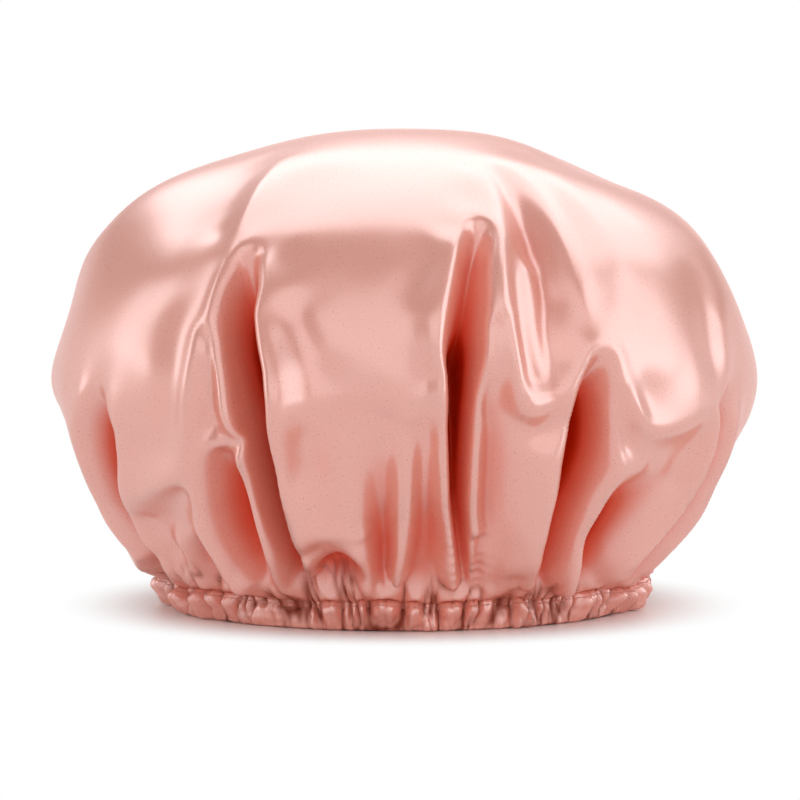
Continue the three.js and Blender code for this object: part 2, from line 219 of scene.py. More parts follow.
# Crests and hollows that stand alone: how round the cloth is, then columns, rows and how far it stands out
LINES = {
    "outer crest of the left pleat": (3.2, [
        (247, 252, 2), (232, 259, 3), (221, 274, 3.5), (212, 296, 4), (204, 322, 4.5), (197, 350, 5),
        (190, 385, 5.5), (186, 425, 5.5), (181, 460, 5.5), (176, 479, 5.5), (164, 487, 5), (150, 492, 4),
        (136, 502, 3),
    ]),
    "panel beside it": (4.5, [
        (200, 300, 2), (191, 325, 2), (184, 350, 2), (177, 385, 2), (173, 420, 2), (168, 448, 2.5),
    ]),
    "between the crests": (3.5, [(208, 335, 2.5), (207, 345, 2)]),
    "hollow between the crests": (6, [(209, 354, 2), (211, 382, 0.5), (213, 408, -0.5), (219, 427, -1)]),
    "shoulder of the lower left pocket": (3, [
        (242, 441, 2.5), (232, 441, 2.5), (218, 445, 2.5), (205, 453, 3),
    ]),
    "facet under the left ledge": (5, [(184, 490, 0), (173, 502, -1.5), (158, 509, -2), (146, 518, -2)]),
    "floor under the left ledge": (9, [(188, 520, -2), (172, 535, -3), (186, 552, -3)]),
    "arch over the soft pocket": (3, [
        (304, 436, 2), (314, 423, 2.2), (326, 409, 2.5), (341, 401, 2.5), (360, 399, 3), (378, 402, 3),
        (392, 409, 3), (403, 416, 3), (411, 419, 3), (419, 412, 3), (427, 394, 3.5), (434, 376, 4),
    ]),
    "under the arch": (6, [(322, 432, 1), (340, 420, 0), (411, 440, -1), (428, 425, -1)]),
    "ridge right of the soft pocket": (4, [
        (408, 450, 1.5), (409, 485, 2), (408, 520, 2), (404, 560, 2), (398, 588, 2),
    ]),
    "crease right of that ridge": (2.2, [
        (429, 440, -3), (425, 465, -5), (421, 492, -7), (419, 520, -9), (416, 548, -9), (413, 572, -8),
        (413, 588, -5),
    ]),
    "tuck at the foot": (2.6, [
        (320, 570, -7), (323, 556, -9), (338, 551, -10), (354, 551, -9), (359, 564, -8),
    ]),
    "edge of the tuck": (2.2, [(310, 553, 2), (317, 542, 3), (332, 536, 3), (348, 535, 3), (364, 539, 2)]),
    "lobe left of the soft pocket": (9, [(332, 450, 1), (330, 490, 1.5), (334, 525, 1.5)]),
    "groove left of the ridge": (2.6, [(499, 325, 2.5), (503, 352, 2), (507, 376, 2)]),
    "ridge right of the tall pleat": (3.2, [
        (482, 220, 3), (492, 226, 3.5), (499, 240, 4), (504, 265, 4.5), (507, 295, 4.5), (510, 325, 4.5),
        (514, 355, 5), (517, 378, 5), (519, 398, 5), (525, 413, 5), (536, 417, 4.5), (548, 409, 4),
        (561, 393, 3.5), (573, 375, 3.5), (585, 361, 4), (598, 351, 4.5), (609, 348, 4.5), (617, 355, 4.5),
        (622, 371, 4.5), (626, 391, 4.5), (630, 411, 4.5), (637, 424, 4.5), (649, 431, 4.5), (665, 432, 5),
        (681, 430, 5), (695, 423, 5), (705, 413, 4.5), (711, 403, 4),
    ]),
    "under the bend of the ridge": (3, [
        (509, 404, 0), (516, 423, -1), (529, 433, -1), (545, 430, -1), (559, 415, -0.5),
    ]),
    "lobe inside the tall pleat": (9, [
        (480, 392, -4), (479, 425, -2.5), (478, 465, -2.5), (477, 505, -3), (477, 545, -3), (480, 578, -3),
    ]),
    "crease right of that lobe": (2.6, [
        (493, 385, -3), (498, 410, -4.5), (500, 440, -6), (499, 475, -6), (495, 515, -6), (491, 552, -5.5),
        (487, 582, -4),
    ]),
    "panel between the pleats": (9, [(524, 450, 1), (521, 490, 1.5), (517, 530, 1.5), (512, 570, 1.5)]),
    "crease at the foot of the lobe": (2.2, [(476, 535, -7), (474, 560, -9), (472, 588, -6)]),
    "groove beside the right arch": (2.2, [(619, 400, 1), (622, 424, -1), (624, 445, -1)]),
    "panel beside the right arch": (4.5, [
        (629, 350, 3.5), (634, 368, 3.5), (638, 388, 3.5), (643, 406, 4), (654, 418, 4),
    ]),
    "panel right of the ridge": (12, [
        (655, 345, 3), (682, 340, 3), (660, 380, 3.5), (690, 375, 3), (665, 408, 4), (690, 402, 4),
    ]),
    "facet under the right ledge": (6, [(642, 450, 0), (658, 450, -1), (674, 448, -1.5), (690, 443, -1.5)]),
    "wedge, left edge": (4.5, [(487, 174, 1), (494, 192, 1), (500, 210, 1.5), (507, 232, 2.5)]),
    "crease right of the ridge": (2.6, [
        (513, 252, 0.5), (516, 275, 0), (518, 300, 0), (521, 330, 0), (525, 355, 0.5), (531, 380, 1),
    ]),
    "wedge, left slope": (5, [(526, 270, -0.5), (528, 305, -0.5), (531, 345, 0), (537, 375, 1)]),
    "wedge, second hollow": (4, [
        (502, 178, -0.5), (511, 192, -1.5), (522, 212, -3), (533, 235, -4.5), (540, 262, -5.5),
        (543, 295, -5.5), (545, 330, -4.5), (548, 360, -2), (552, 380, 0.5),
    ]),
    "wedge, right edge": (4.5, [
        (497, 163, 1), (508, 168, 1), (520, 180, 1), (532, 196, 1), (544, 217, 1), (555, 243, 1),
        (565, 270, 1), (577, 300, 2), (589, 328, 3),
    ]),
    "right of the wedge": (7, [
        (520, 164, 1), (536, 178, 1), (550, 196, 1), (562, 218, 1), (573, 244, 1.5), (584, 272, 2),
        (596, 302, 2.5),
    ]),
    "slope right of the wedge": (6, [(560, 300, -2.5), (566, 335, 0), (574, 358, 2)]),
    "rib at the far right": (6, [
        (704, 246, 2), (714, 282, 2.5), (720, 318, 3), (724, 356, 3), (725, 392, 3),
    ]),
    "hollow beside the rib": (7, [(700, 285, 1), (708, 325, 1), (714, 365, 1.5)]),
    "long crest on the right": (2.6, [
        (711, 403, 4), (717, 414, 4), (717, 430, 4), (712, 450, 4), (704, 470, 4), (693, 492, 4),
        (679, 512, 3.5), (663, 532, 3), (650, 548, 3), (638, 563, 3), (628, 578, 2),
    ]),
    "middle panel": (12, [
        (285, 290, 3), (325, 285, 3.5), (370, 285, 3.5), (415, 290, 3.5), (425, 340, 4), (380, 345, 4),
        (335, 345, 3.5),
    ]),
    "dome": (14, [(300, 190, 1.5), (350, 180, 1), (400, 180, 1), (450, 185, 1.5)]),
    "edge of the dome": (6, [
        (262, 249, 3), (285, 244, 3.5), (305, 238, 4), (330, 226, 4), (380, 212, 3.5), (425, 216, 3.5),
        (448, 226, 4), (466, 230, 4),
    ]),
    "left panel": (12, [
        (110, 330, 1), (150, 290, 1.5), (170, 340, 2), (135, 380, 2), (150, 430, 2), (130, 460, 2),
        (160, 465, 2.5),
    ]),
    "right panel": (12, [(600, 230, 1.5), (650, 230, 1.5), (620, 290, 2.5), (670, 290, 2)]),
    "crest beside the valley": (3, [
        (283, 160, 1), (268, 176, 1.5), (254, 198, 2), (241, 222, 2), (232, 240, 2),
    ]),
    "valley on the left of the dome": (3, [
        (262, 160, -1.5), (246, 185, -2.5), (234, 208, -2.5), (223, 232, -1.5),
    ]),
}


def walk(azimuth, arc, lift, soft, step=4.5):
    """Marks along a broken line of azimuths, arcs and lifts, about a step apart, all of one softness."""
    run = np.hypot(np.diff(azimuth) * np.radians(1) * HALF_WIDTH, np.diff(arc))
    along = np.append(0, np.cumsum(run))
    at = np.linspace(0, along[-1], max(2, int(along[-1] / step) + 1))
    values = [np.interp(at, along, value) for value in (azimuth, arc, lift)]
    return np.stack([*values, np.full(at.size, soft)], -1)


# Pleats of the back, out of the photograph's sight: azimuth and height of the top, azimuth of the foot, how
# many degrees the middle bows aside, the widest half width, the depth, and the floor's way from lip to lip
BACK_PLEATS = [
    (-109, 86, -106, 1.5, 6, 15, 0.7),
    (-122, 132, -117, -2.5, 8, 23, 0.3),
    (-133, 60, -130, 1, 6, 13, 0.65),
    (-145, 112, -141, 2.5, 7.5, 20, 0.25),
    (-162, 146, -154, -2, 8.5, 24, 0.75),
    (-176, 72, -171, 1.5, 6.5, 15, 0.35),
    (173, 120, 175, -2.5, 7.5, 21, 0.7),
    (159, 56, 161, 1, 6, 13, 0.4),
    (146, 138, 140, 2.5, 8.5, 24, 0.25),
    (132, 82, 130, -1.5, 6.5, 16, 0.7),
    (120, 114, 117, 2, 7.5, 20, 0.3),
    (108, 64, 106, 0, 6, 13, 0.6),
]

# Arches, crests and valleys between those pleats: how round the cloth is, then azimuths, heights and lifts
BACK_LINES = [
    (3.5, [(-141, 84, 2), (-137, 77, 3), (-131, 73, 3.5), (-125, 76, 3), (-121, 88, 2.5)]),
    (3.5, [(-170, 162, 0.5), (-169, 142, 2), (-170, 120, 3), (-174, 100, 3.5), (179, 90, 3), (175, 88, 2)]),
    (3.5, [(151, 92, 2), (154, 78, 3), (159, 71, 3.5), (164, 76, 3), (168, 92, 2.5)]),
    (4.0, [(137, 158, 0.5), (134, 136, 2), (134, 114, 3), (136, 98, 3)]),
    (4.0, [(-150, 166, -1), (-152, 146, -2), (-153, 126, -1.5)]),
    (4.0, [(162, 168, -1), (158, 148, -2), (160, 128, -1.5)]),
    (4.0, [(-106, 152, 0.5), (-106, 132, 2), (-107, 112, 2.5), (-109, 98, 2)]),
    (4.0, [(105, 150, 0.5), (106, 130, 2), (106, 108, 2.5), (104, 88, 2)]),
]

# Lumps of the outline at the sides and the top: azimuth, height, lift. They come again, turned to the back.
OUTLINE_SOFT = 11.0
OUTLINE_TURNS = (0, 7, 14)
OUTLINE = [
    (-88, 160, 3.0), (-88, 147, 2.5), (-88, 138, 1.5), (-86, 122, -2.0), (-86, 104, -1.0), (-86, 86, 1.0),
    (-86, 74, -2.5), (-86, 56, -6.0), (-86, 42, -7.0), (-86, 30, -5.5), (60, 183, -2.0), (84, 176, -4.0),
    (88, 164, -1.0), (88, 150, 1.0), (88, 124, -1.5), (88, 100, 2.0), (88, 71, 1.5), (86, 56, -3.5),
    (86, 42, -6.5), (86, 32, -6.5), (86, 23, -4.0), (-70, 182, -1.0), (0, 188, 0.0),
]


# The cloth is creased over lips and crests whose softness lies between these two, and more the further they
# stand out. A crest below the least lift isn't creased.
CREASED = (2.4, 4.0)
FULL_CREST = 4.0
LEAST_CREST = 1.5
BEAD_STEP = 1.5


def pocket_marks(left, right, lips, depth, share, soft=(LIP, LIP)):
    """Marks of one pocket from the azimuths and arcs of its lips: both lips, and a floor between them."""
    floor_azimuth = left[0] + share * (right[0] - left[0])
    floor_arc = (left[1] + right[1]) / 2
    fade = np.clip(depth / 6, 0, 1)
    return [
        walk(*left, lips[0] * fade, soft[0]),
        walk(*right, lips[1] * fade, soft[1]),
        walk(floor_azimuth, floor_arc, -depth, FLOOR),
    ]


def fold_marks():
    """Every mark of the folds, as azimuth, arc, lift and softness, then the azimuths and arcs of the
    pockets' lips, and points along the crests that the cloth is creased over."""
    marks, lips, crests = [], [], []
    for soft, line in LINES.values():
        column, row, lift = np.array(line, float).T
        azimuth, arc = seen_on_crown(column, row, lift)
        marks.append(walk(azimuth, arc, lift, soft))
        if lift.mean() > LEAST_CREST and CREASED[0] < soft < CREASED[1]:
            crests.append(walk(azimuth, arc, np.clip(lift / FULL_CREST, 0, 1), soft, BEAD_STEP))
    for pocket in POCKETS.values():
        row, left_column, right_column, depth, share = np.array(pocket["rows"], float).T
        heights = np.broadcast_arrays(*(np.array(lip, float) for lip in pocket["lips"]), row)[:2]
        sides = [seen_on_crown(column, row, lip) for column, lip in zip((left_column, right_column), heights)]
        marks += pocket_marks(*sides, heights, depth, share, pocket["soft"])
        lips.append((sides[0][0], sides[1][0], sides[0][1], sides[1][1]))
        for side, lip, soft in zip(sides, heights, pocket["soft"]):
            if CREASED[0] < soft < CREASED[1]:
                bead = np.clip(lip / FULL_CREST, 0, 1) * np.clip(depth / 10, 0, 1)
                crests.append(walk(*side, bead, soft, BEAD_STEP))
    for top_azimuth, top, foot_azimuth, bow, half, depth, share in BACK_PLEATS:
        down = np.linspace(0, 1, 14)
        arc = arc_at_height(top + (HEM_HEIGHT + 3 - top) * down)
        azimuth = top_azimuth + (foot_azimuth - top_azimuth) * down + bow * np.sin(np.pi * down)
        wide = 0.15 + 0.85 * np.sin(np.pi * down**0.6) ** 0.8 + 0.3 * down
        turn = np.degrees(half * wide / np.interp(arc, ARCS, RADII))
        deep = depth * (1 - np.exp(-down / 0.22)) * (1 - 0.5 * down**2)
        marks += pocket_marks((azimuth - turn, arc), (azimuth + turn, arc), (2.5, 2.5), deep, share)
        lips.append((azimuth - turn, azimuth + turn, arc, arc))
        bead = 0.7 * np.clip(deep / 8, 0, 1)
        crests += [walk(azimuth + way * turn, arc, bead, LIP, BEAD_STEP) for way in (-1, 1)]
    for soft, line in BACK_LINES:
        azimuth, height, lift = np.array(line, float).T
        azimuth = np.where(azimuth[0] < 0, (azimuth - 360) % -360, azimuth)
        marks.append(walk(azimuth, arc_at_height(height), lift, soft))
    azimuth, height, lift = np.array(OUTLINE, float).T
    for turn in OUTLINE_TURNS:
        place = azimuth + turn * np.sign(azimuth)
        marks.append(np.stack([place, arc_at_height(height), lift, np.full(lift.size, OUTLINE_SOFT)], -1))
    return np.concatenate(marks), lips, np.concatenate(crests)


folds, POCKET_LIPS, CRESTS = fold_marks()


def inside_pocket(azimuth, arc, margin):
    """Which points lie between the lips of a pocket, or within a margin in millimetres outside them."""
    inside = np.zeros(np.shape(azimuth), bool)
    for left_azimuth, right_azimuth, left_arc, right_arc in POCKET_LIPS:
        middle_arc = (left_arc + right_arc) / 2
        order = np.argsort(middle_arc)
        left = np.interp(arc, middle_arc[order], left_azimuth[order])
        right = np.interp(arc, middle_arc[order], right_azimuth[order])
        slack = np.degrees(margin / np.maximum(np.interp(arc, ARCS, RADII), 20))
        along = (arc > middle_arc.min() - margin) & (arc < middle_arc.max() + margin)
        inside |= along & (azimuth > left - slack) & (azimuth < right + slack)
    return inside


def pocket_painted_shade(azimuth, arc):
    """The painted shade that the pockets add, as depth for the colour alone: half a sine wave from lip to
    lip, times the pocket's depth.
    """
    total = np.zeros(np.shape(azimuth))
    for pocket in POCKETS.values():
        if "painted_shade" not in pocket:
            continue
        row, left_column, right_column, depth, _ = np.array(pocket["rows"], float).T
        left, left_arc = seen_on_crown(left_column, row, 2)
        right, right_arc = seen_on_crown(right_column, row, 2)
        middle = (left_arc + right_arc) / 2
        order = np.argsort(middle)
        values = (left, right, depth / depth.max())
        start, stop, strength = (np.interp(arc, middle[order], value[order]) for value in values)
        across = np.clip((azimuth - start) / (stop - start), 0, 1)
        along = (arc > middle.min() - 1) & (arc < middle.max() + 1)
        # Painted shade: depth that only reddens the colour, for light bounced about inside the pocket
        total += pocket["painted_shade"] * strength * np.sin(np.pi * across) * along
    return total


def cone_weights(centres, values, soften, ease):
    """The weights of one softened cone a mark, and a constant, that together pass through the values."""
    apart = np.sqrt(((centres[:, None] - centres[None]) ** 2).sum(-1) + np.square(soften))
    count = len(values)
    system = np.zeros((count + 1, count + 1))
    system[:count, :count] = -apart + ease * np.eye(count)
    system[:count, count] = 1
    system[count, :count] = 1
    return np.linalg.solve(system, np.append(values, 0))


def squared_gaps(points, centres, more=0):
    """Row by row, the squares of the points' distances to the centres, plus whatever more there is."""
    centres = centres.astype(np.float32)
    squares = (centres**2).sum(-1) + more
    for row in points.astype(np.float32):
        yield (row**2).sum(-1)[:, None] - 2 * row @ centres.T + squares


def cone_sum(points, centres, weights, soften):
    """The sum of the softened cones at each point: roots of distance squared plus softness squared."""
    heights = weights[:-1].astype(np.float32)
    total = np.empty(points.shape[:-1])
    for i, gap in enumerate(squared_gaps(points, centres, np.square(soften).astype(np.float32))):
        total[i] = -np.sqrt(np.maximum(gap, 0)) @ heights + weights[-1]
    return total


BEAD_LIFT = 0.9
BEAD_WIDTH = 3.2


def crest_bead(points):
    """How far the cloth stands out over its creased crests: a bell of the distance to the nearest crest."""
    strength = CRESTS[:, 2]
    bead = np.empty(points.shape[:-1])
    for i, gap in enumerate(squared_gaps(points, crown_point(CRESTS[:, 0], CRESTS[:, 1]))):
        nearest = gap.argmin(1)
        away = np.sqrt(np.maximum(gap[np.arange(len(gap)), nearest], 0))
        bead[i] = strength[nearest] * BEAD_LIFT * np.exp(-((away / BEAD_WIDTH) ** 2))
    return bead


def lattice(step):
    """Azimuths and arcs of points a step apart over the whole crown, every other ring turned half a step."""
    azimuths, arcs = [], []
    for k, arc in enumerate(np.arange(step / 2, ARCS[-1] - 4, step)):
        count = int(max(4, round(2 * np.pi * np.interp(arc, ARCS, RADII) / step)))
        ring = (np.arange(count) + 0.5 * (k % 2)) * 360 / count
        azimuths.append(np.where(ring > 180, ring - 360, ring))
        arcs.append(np.full(count, arc))
    return np.concatenate(azimuths), np.concatenate(arcs)


# The panels' broad surface goes through the shallow marks and, at the top and high at the back, through calm
# ones on the outline. The softest marks shape nothing else. It is read at panel marks clear of the folds'.
BROAD_SOFT = 12.0
SHALLOW = 6.0
PANEL_SOFTEN = 22.0
CALM_STEP, PANEL_STEP = 30.0, 11.0
CLEAR_OF_POCKETS, CLEAR_OF_MARKS = 5.0, 8.0

# How far a surface may pass beside its marks to stay smooth
BROAD_EASE, OUTLINE_EASE, FOLD_EASE = 2.5, 0.3, 0.15


def all_marks():
    """The fold marks, and marks on a lattice over the panels between them, whose lift is a broad smooth
    surface through the shallow marks: that keeps panels taut and the pockets' edges crisp."""
    shallow = folds[(np.abs(folds[:, 2]) < SHALLOW) | (folds[:, 3] == OUTLINE_SOFT)]
    azimuth, arc = lattice(CALM_STEP)
    calm = np.stack([azimuth, arc, 0 * arc], -1)[(arc < 60) | (np.abs(azimuth) > 96) & (arc < 120)]
    ring = np.arange(-180, 180, 8.0)
    rim = np.stack([ring, np.full(ring.size, ARCS[-1]), 0 * ring], -1)
    broad = np.concatenate([shallow[:, :3], calm, rim])
    ease = np.full(len(broad), BROAD_EASE)
    ease[: len(shallow)][shallow[:, 3] >= OUTLINE_SOFT] = OUTLINE_EASE
    centres = crown_point(broad[:, 0], broad[:, 1])
    weights = cone_weights(centres, broad[:, 2], PANEL_SOFTEN, ease)
    azimuth, arc = lattice(PANEL_STEP)
    places = crown_point(azimuth, arc)
    sharp = folds[folds[:, 3] < BROAD_SOFT]
    marked = crown_point(sharp[:, 0], sharp[:, 1])
    near = np.sqrt(((places[:, None] - marked[None]) ** 2).sum(-1)).min(1)
    keep = ~inside_pocket(azimuth, arc, CLEAR_OF_POCKETS) & (near > CLEAR_OF_MARKS)
    lift = cone_sum(places[keep][None], centres, weights, np.full(len(centres), PANEL_SOFTEN))[0]
    panels = np.stack([azimuth[keep], arc[keep], lift, np.full(lift.size, PANEL)], -1)
    ring = np.arange(-180, 180, 3.0)
    rim = np.stack([ring, np.full(ring.size, ARCS[-1] + 2), 0 * ring, np.full(ring.size, LIP)], -1)
    return np.concatenate([sharp, panels, rim])


COLUMNS = 696
ROWS = 140

# How far the crown's edge runs down into the binding's mouth
SEAM_EDGE = 2.4

# Gathers: where the elastic draws it in, the cloth of the crown and of the binding is puckered into rolls
# of uneven width, which meet at creases near these azimuths
chance = np.random.default_rng(11)
CREASES = 72
crease_widths = chance.uniform(0.35, 1.8, CREASES)
CREASE_AZIMUTHS = np.append(0, np.cumsum(crease_widths)) / crease_widths.sum() * 360 - 180
CREASE_REACHES = chance.uniform(5.0, 19.0, CREASES + 1)
CREASE_LEANS = chance.uniform(-0.16, 0.16, CREASES + 1)
for values in (CREASE_REACHES, CREASE_LEANS):
    values[-1] = values[0]

# Their three scales: how many puckers to a roll, how long they are in millimetres, the seed and the share
GATHER_SCALES = ((1, 16, 3, 0.7), (2, 9, 4, 0.22), (4, 6, 5, 0.08))
MEAN_FULLNESS = 0.42
CREASE_FULLNESS = 0.36  # less full than this, the cloth lies in a crease
GATHER_HEIGHT = 9.5
SWELL_HEIGHT = 5.0  # how far above the seam the gathers are highest
NOISE_ROWS = 16

# How far the seam wanders up and down, in slow waves of so many cells round the cap, and with the rolls
WANDER, WANDER_CELLS, WANDER_WITH_ROLLS = 3.0, 24, 2.4


def cell_noise(across, down, count, seed):
    """Smooth noise over cells 1 wide and 1 tall that closes round after so many cells. It is 0 at their
    corners, where it slopes at random, more across than down, and between them it blends the four slopes."""
    slopes = np.random.default_rng(seed)
    shape = (count, NOISE_ROWS)
    slope_across = slopes.choice([-1.0, 1.0], shape) * slopes.uniform(0.6, 1.0, shape)
    slope_down = slopes.uniform(-0.5, 0.5, shape)
    i, j = np.floor(across).astype(int), np.floor(down).astype(int)
    u, v = across - i, down - j
    ease_u, ease_v = u * u * (3 - 2 * u), v * v * (3 - 2 * v)
    total = 0
    for a, share_a in ((0, 1 - ease_u), (1, ease_u)):
        for b, share_b in ((0, 1 - ease_v), (1, ease_v)):
            corner = (i + a) % count, (j + b) % NOISE_ROWS
            rise = slope_across[corner] * (u - a) + slope_down[corner] * (v - b)
            total = total + share_a * share_b * rise
    return total


def wrapped(azimuth):
    """Azimuths brought between -180 and 180 degrees."""
    return (azimuth + 180) % 360 - 180


def gathers(azimuth, along):
    """How full the gathered cloth is, from 0 in creases to about 1 on rolls, at a distance from the seam: up
    the crown, or down the binding where it is negative. It is the size of noise of three scales, whose
    sharp zero lines are the creases, and all of them lean."""
    turn = wrapped(azimuth)
    turn = turn + np.interp(turn, CREASE_AZIMUTHS, CREASE_LEANS) * along
    cell = np.interp(wrapped(turn), CREASE_AZIMUTHS, np.arange(CREASES + 1))
    full = 0
    for finer, length, seed, share in GATHER_SCALES:
        noise = cell_noise(finer * cell, along / length + NOISE_ROWS / 2, finer * CREASES, seed)
        full = full + share * np.abs(2 * noise) ** 0.75
    return full


def gather_fade(azimuth, away):
    """How much of the gathers is left at a distance above the seam: a bell over each roll's own reach."""
    reach = np.interp(wrapped(azimuth), CREASE_AZIMUTHS, CREASE_REACHES)
    return np.exp(-((away / reach) ** 2))


def gather_lift(azimuth, away):
    """How far the crown's gathers stand out at a distance above the seam: some in it, and most above it."""
    swell = 0.6 + 0.4 * np.sin(np.pi / 2 * np.clip(away / SWELL_HEIGHT, 0, 1))
    return (gathers(azimuth, away) - MEAN_FULLNESS) * GATHER_HEIGHT * swell * gather_fade(azimuth, away)


def seam_shift(azimuth):
    """How far the seam wanders up or down, in millimetres: slow noise, and a little with each roll."""
    slow = cell_noise((azimuth + 180) % 360 / (360 / WANDER_CELLS), 0.5, WANDER_CELLS, 6)
    return WANDER * slow + WANDER_WITH_ROLLS * (gathers(azimuth, 0 * azimuth) - MEAN_FULLNESS)


def crease_shade_share(full):
    """How far into a gather's crease the cloth lies, from 0 outside it to 1, from how full it is there: how
    much painted shade the crease gets.
    """
    return np.clip(1 - full / CREASE_FULLNESS, 0, 1)


def crown_rows():
    """Arcs of the crown's rows: close together near the hem, where the puckers are, and wider above."""
    share = np.linspace(0, 1, ROWS)
    spread = share + 0.12 * np.sin(np.pi * share)
    return ARCS[-1] * (0.006 + 0.994 * spread / spread.max())


def smooth_rows(values, passes):
    """Values blurred from row to row by repeated averaging with the rows above and below."""
    for _ in range(passes):
        padded = np.vstack([values[:1], values, values[-1:]])
        values = 0.25 * padded[:-2] + 0.5 * padded[1:-1] + 0.25 * padded[2:]
    return values


def relax(points, passes, share):
    """Points eased towards the mean of their four neighbours, then partly back, so that rows which cross a
    fold aslant leave no steps. Each row takes its share of the easing, and the first and last rows stay."""
    for weight in (0.5, -0.34) * passes:
        mean = (np.roll(points, 1, axis=1) + np.roll(points, -1, axis=1)) / 4
        mean[1:-1] += (points[:-2] + points[2:]) / 4
        step = weight * (mean - points) * share
        step[:1] = step[-1:] = 0
        points = points + step
    return points


# Distances above the seam, in millimetres, over which the folds, the crests' beads, the gathers' direction,
# the seam's wandering and the columns' spacing change from what they are at the seam
FOLD_START, BEAD_START, PUCKER_TURN, WANDER_REACH, AZIMUTH_REACH = 8.0, 30.0, 6.0, 7.0, 18.0
POLE_CALM = 20.0
SPACING_PASSES = 12
RELAX_PASSES = 4
EDGE_IN = 0.8  # how far inside the seam the crown's edge lies


def crown_surface():
    """The crown's points, row by row from the pole, then how deep in a fold and how far in a gather's crease
    each lies, which its colour shows as painted shade: the lifted outline, with each row's points spread
    evenly along the cloth of that row and its neighbours, and near the seam evenly round the cap."""
    fine = np.linspace(-180, 180, 2 * COLUMNS + 1)
    azimuth, arc = np.meshgrid(fine, crown_rows())
    marks = all_marks()
    centres = crown_point(marks[:, 0], marks[:, 1])
    weights = cone_weights(centres, marks[:, 2], marks[:, 3], FOLD_EASE)
    places = crown_point(azimuth, arc)
    away = ARCS[-1] - arc
    lift = cone_sum(places, centres, weights, marks[:, 3])
    lift += crest_bead(places) * np.clip(away / BEAD_START, 0, 1)
    puckered = gather_lift(azimuth, away)
    upper = 1 - np.exp(-((away / PUCKER_TURN) ** 2))
    lift *= 1 - np.exp(-((away / FOLD_START) ** 2))
    lift = lift * np.clip(arc / POLE_CALM, 0, 1) + puckered * upper
    points = crown_point(azimuth, arc, lift) + around(azimuth, puckered * (1 - upper), 0)
    points[..., 2] += seam_shift(azimuth) * np.exp(-((away / WANDER_REACH) ** 2))
    step = np.linalg.norm(np.diff(points, axis=1), axis=-1)
    along = np.hstack([np.zeros((ROWS, 1)), np.cumsum(step, axis=1)])
    by_azimuth = np.exp(-((away[:, :1] / AZIMUTH_REACH) ** 4))
    share = smooth_rows(along / along[:, -1:], SPACING_PASSES)
    share = share * (1 - by_azimuth) + np.linspace(0, 1, fine.size) * by_azimuth
    at = np.linspace(0, 1, COLUMNS + 1)[:-1]
    # Painted shade: how deep each point lies in a fold, with the pockets' painted shade, reddens its colour
    shade = -lift + pocket_painted_shade(azimuth, arc)
    # Painted shade: how far each point lies in a gather's crease darkens its colour towards brown
    folded = crease_shade_share(gathers(azimuth, away)) * gather_fade(azimuth, away)
    fields = np.concatenate([points, shade[..., None], folded[..., None]], -1)
    even = np.empty((ROWS, COLUMNS, fields.shape[-1]))
    for i, row in enumerate(fields):
        even[i] = np.stack([np.interp(at, share[i], field) for field in row.T], -1)
    cloth = relax(even[..., :3], RELAX_PASSES, (1 - by_azimuth)[..., None])
    edge = cloth[-1:] * (1 - EDGE_IN / SEAM_RADIUS) - [0, 0, SEAM_EDGE]
    even = np.concatenate([even, even[-1:]])
    return np.concatenate([cloth, edge]), even[..., 3], even[..., 4]


def grid_normals(points):
    """Unit normals of a grid that closes round the cap, from the cross product of its two steps."""
    across = np.roll(points, -1, axis=1) - np.roll(points, 1, axis=1)
    down = np.gradient(points, axis=0)
    normal = np.cross(down, across)
    return normal / np.maximum(np.linalg.norm(normal, axis=-1, keepdims=True), 1e-9)


def add_object(name, data):
    """An object of the scene, unturned at the origin."""
    obj = bpy.data.objects.new(name, data)
    bpy.context.scene.collection.objects.link(obj)
    return obj


def grid_mesh(name, points, closed_top=False, flat=None, loop=False):
    """A mesh through rows of points that close round the cap, with a fan over the pole if it has one. Its
    UV map is the cloth's own plane in metres: flat gives each point's place before the cloth was sewn."""
    rows, columns = points.shape[:2]
    index = np.arange(rows * columns).reshape(rows, columns)
    right = np.roll(index, -1, axis=1)
    below = np.roll(index, -1, axis=0) if loop else index[1:]
    below_right = np.roll(right, -1, axis=0) if loop else right[1:]
    last = rows if loop else rows - 1
    quads = np.stack([index[:last], below, below_right, right[:last]], -1).reshape(-1, 4)
    vertices = points.reshape(-1, 3)
    faces = quads.tolist()
    if closed_top:
        vertices = np.vstack([vertices, [[0, 0, points[0, :, 2].mean() + 0.05]]])
        pole = len(vertices) - 1
        faces += [[pole, a, b] for a, b in zip(index[0].tolist(), right[0].tolist())]
    mesh = bpy.data.meshes.new(name)
    mesh.from_pydata((vertices * MM).tolist(), [], faces)
    if flat is not None:
        flat = flat.reshape(-1, 2)
        if closed_top:
            flat = np.vstack([flat, [[0, 0]]])
        corner = np.empty(len(mesh.loops), np.int64)
        mesh.loops.foreach_get("vertex_index", corner)
        layer = mesh.uv_layers.new(name="cloth_plane")
        layer.data.foreach_set("uv", (flat[corner] * MM).astype(np.float32).ravel())
    mesh.validate()
    mesh.shade_smooth()
    return add_object(name, mesh)


def paint(obj, name, values):
    """Keeps a value from 0 to 1 for each point as an attribute that the satin's colour reads."""
    layer = obj.data.attributes.new(name, "FLOAT", "POINT")
    layer.data.foreach_set("value", np.clip(values, 0, 1).astype(np.float32))


def disc_plane(arcs, columns):
    """Places on the round cut of cloth: each row is a circle of its own arc, its columns spread round it."""
    turn = np.linspace(0, 2 * np.pi, columns + 1)[:-1]
    return np.stack([arcs[:, None] * np.sin(turn), -arcs[:, None] * np.cos(turn)], -1)


def linear(code):
    """A hex sRGB colour as linear red, green, blue and alpha."""
    value = np.array([int(code[i : i + 2], 16) for i in (1, 3, 5)]) / 255
    value = np.where(value <= 0.04045, value / 12.92, ((value + 0.055) / 1.055) ** 2.4)
    return (*value, 1.0)


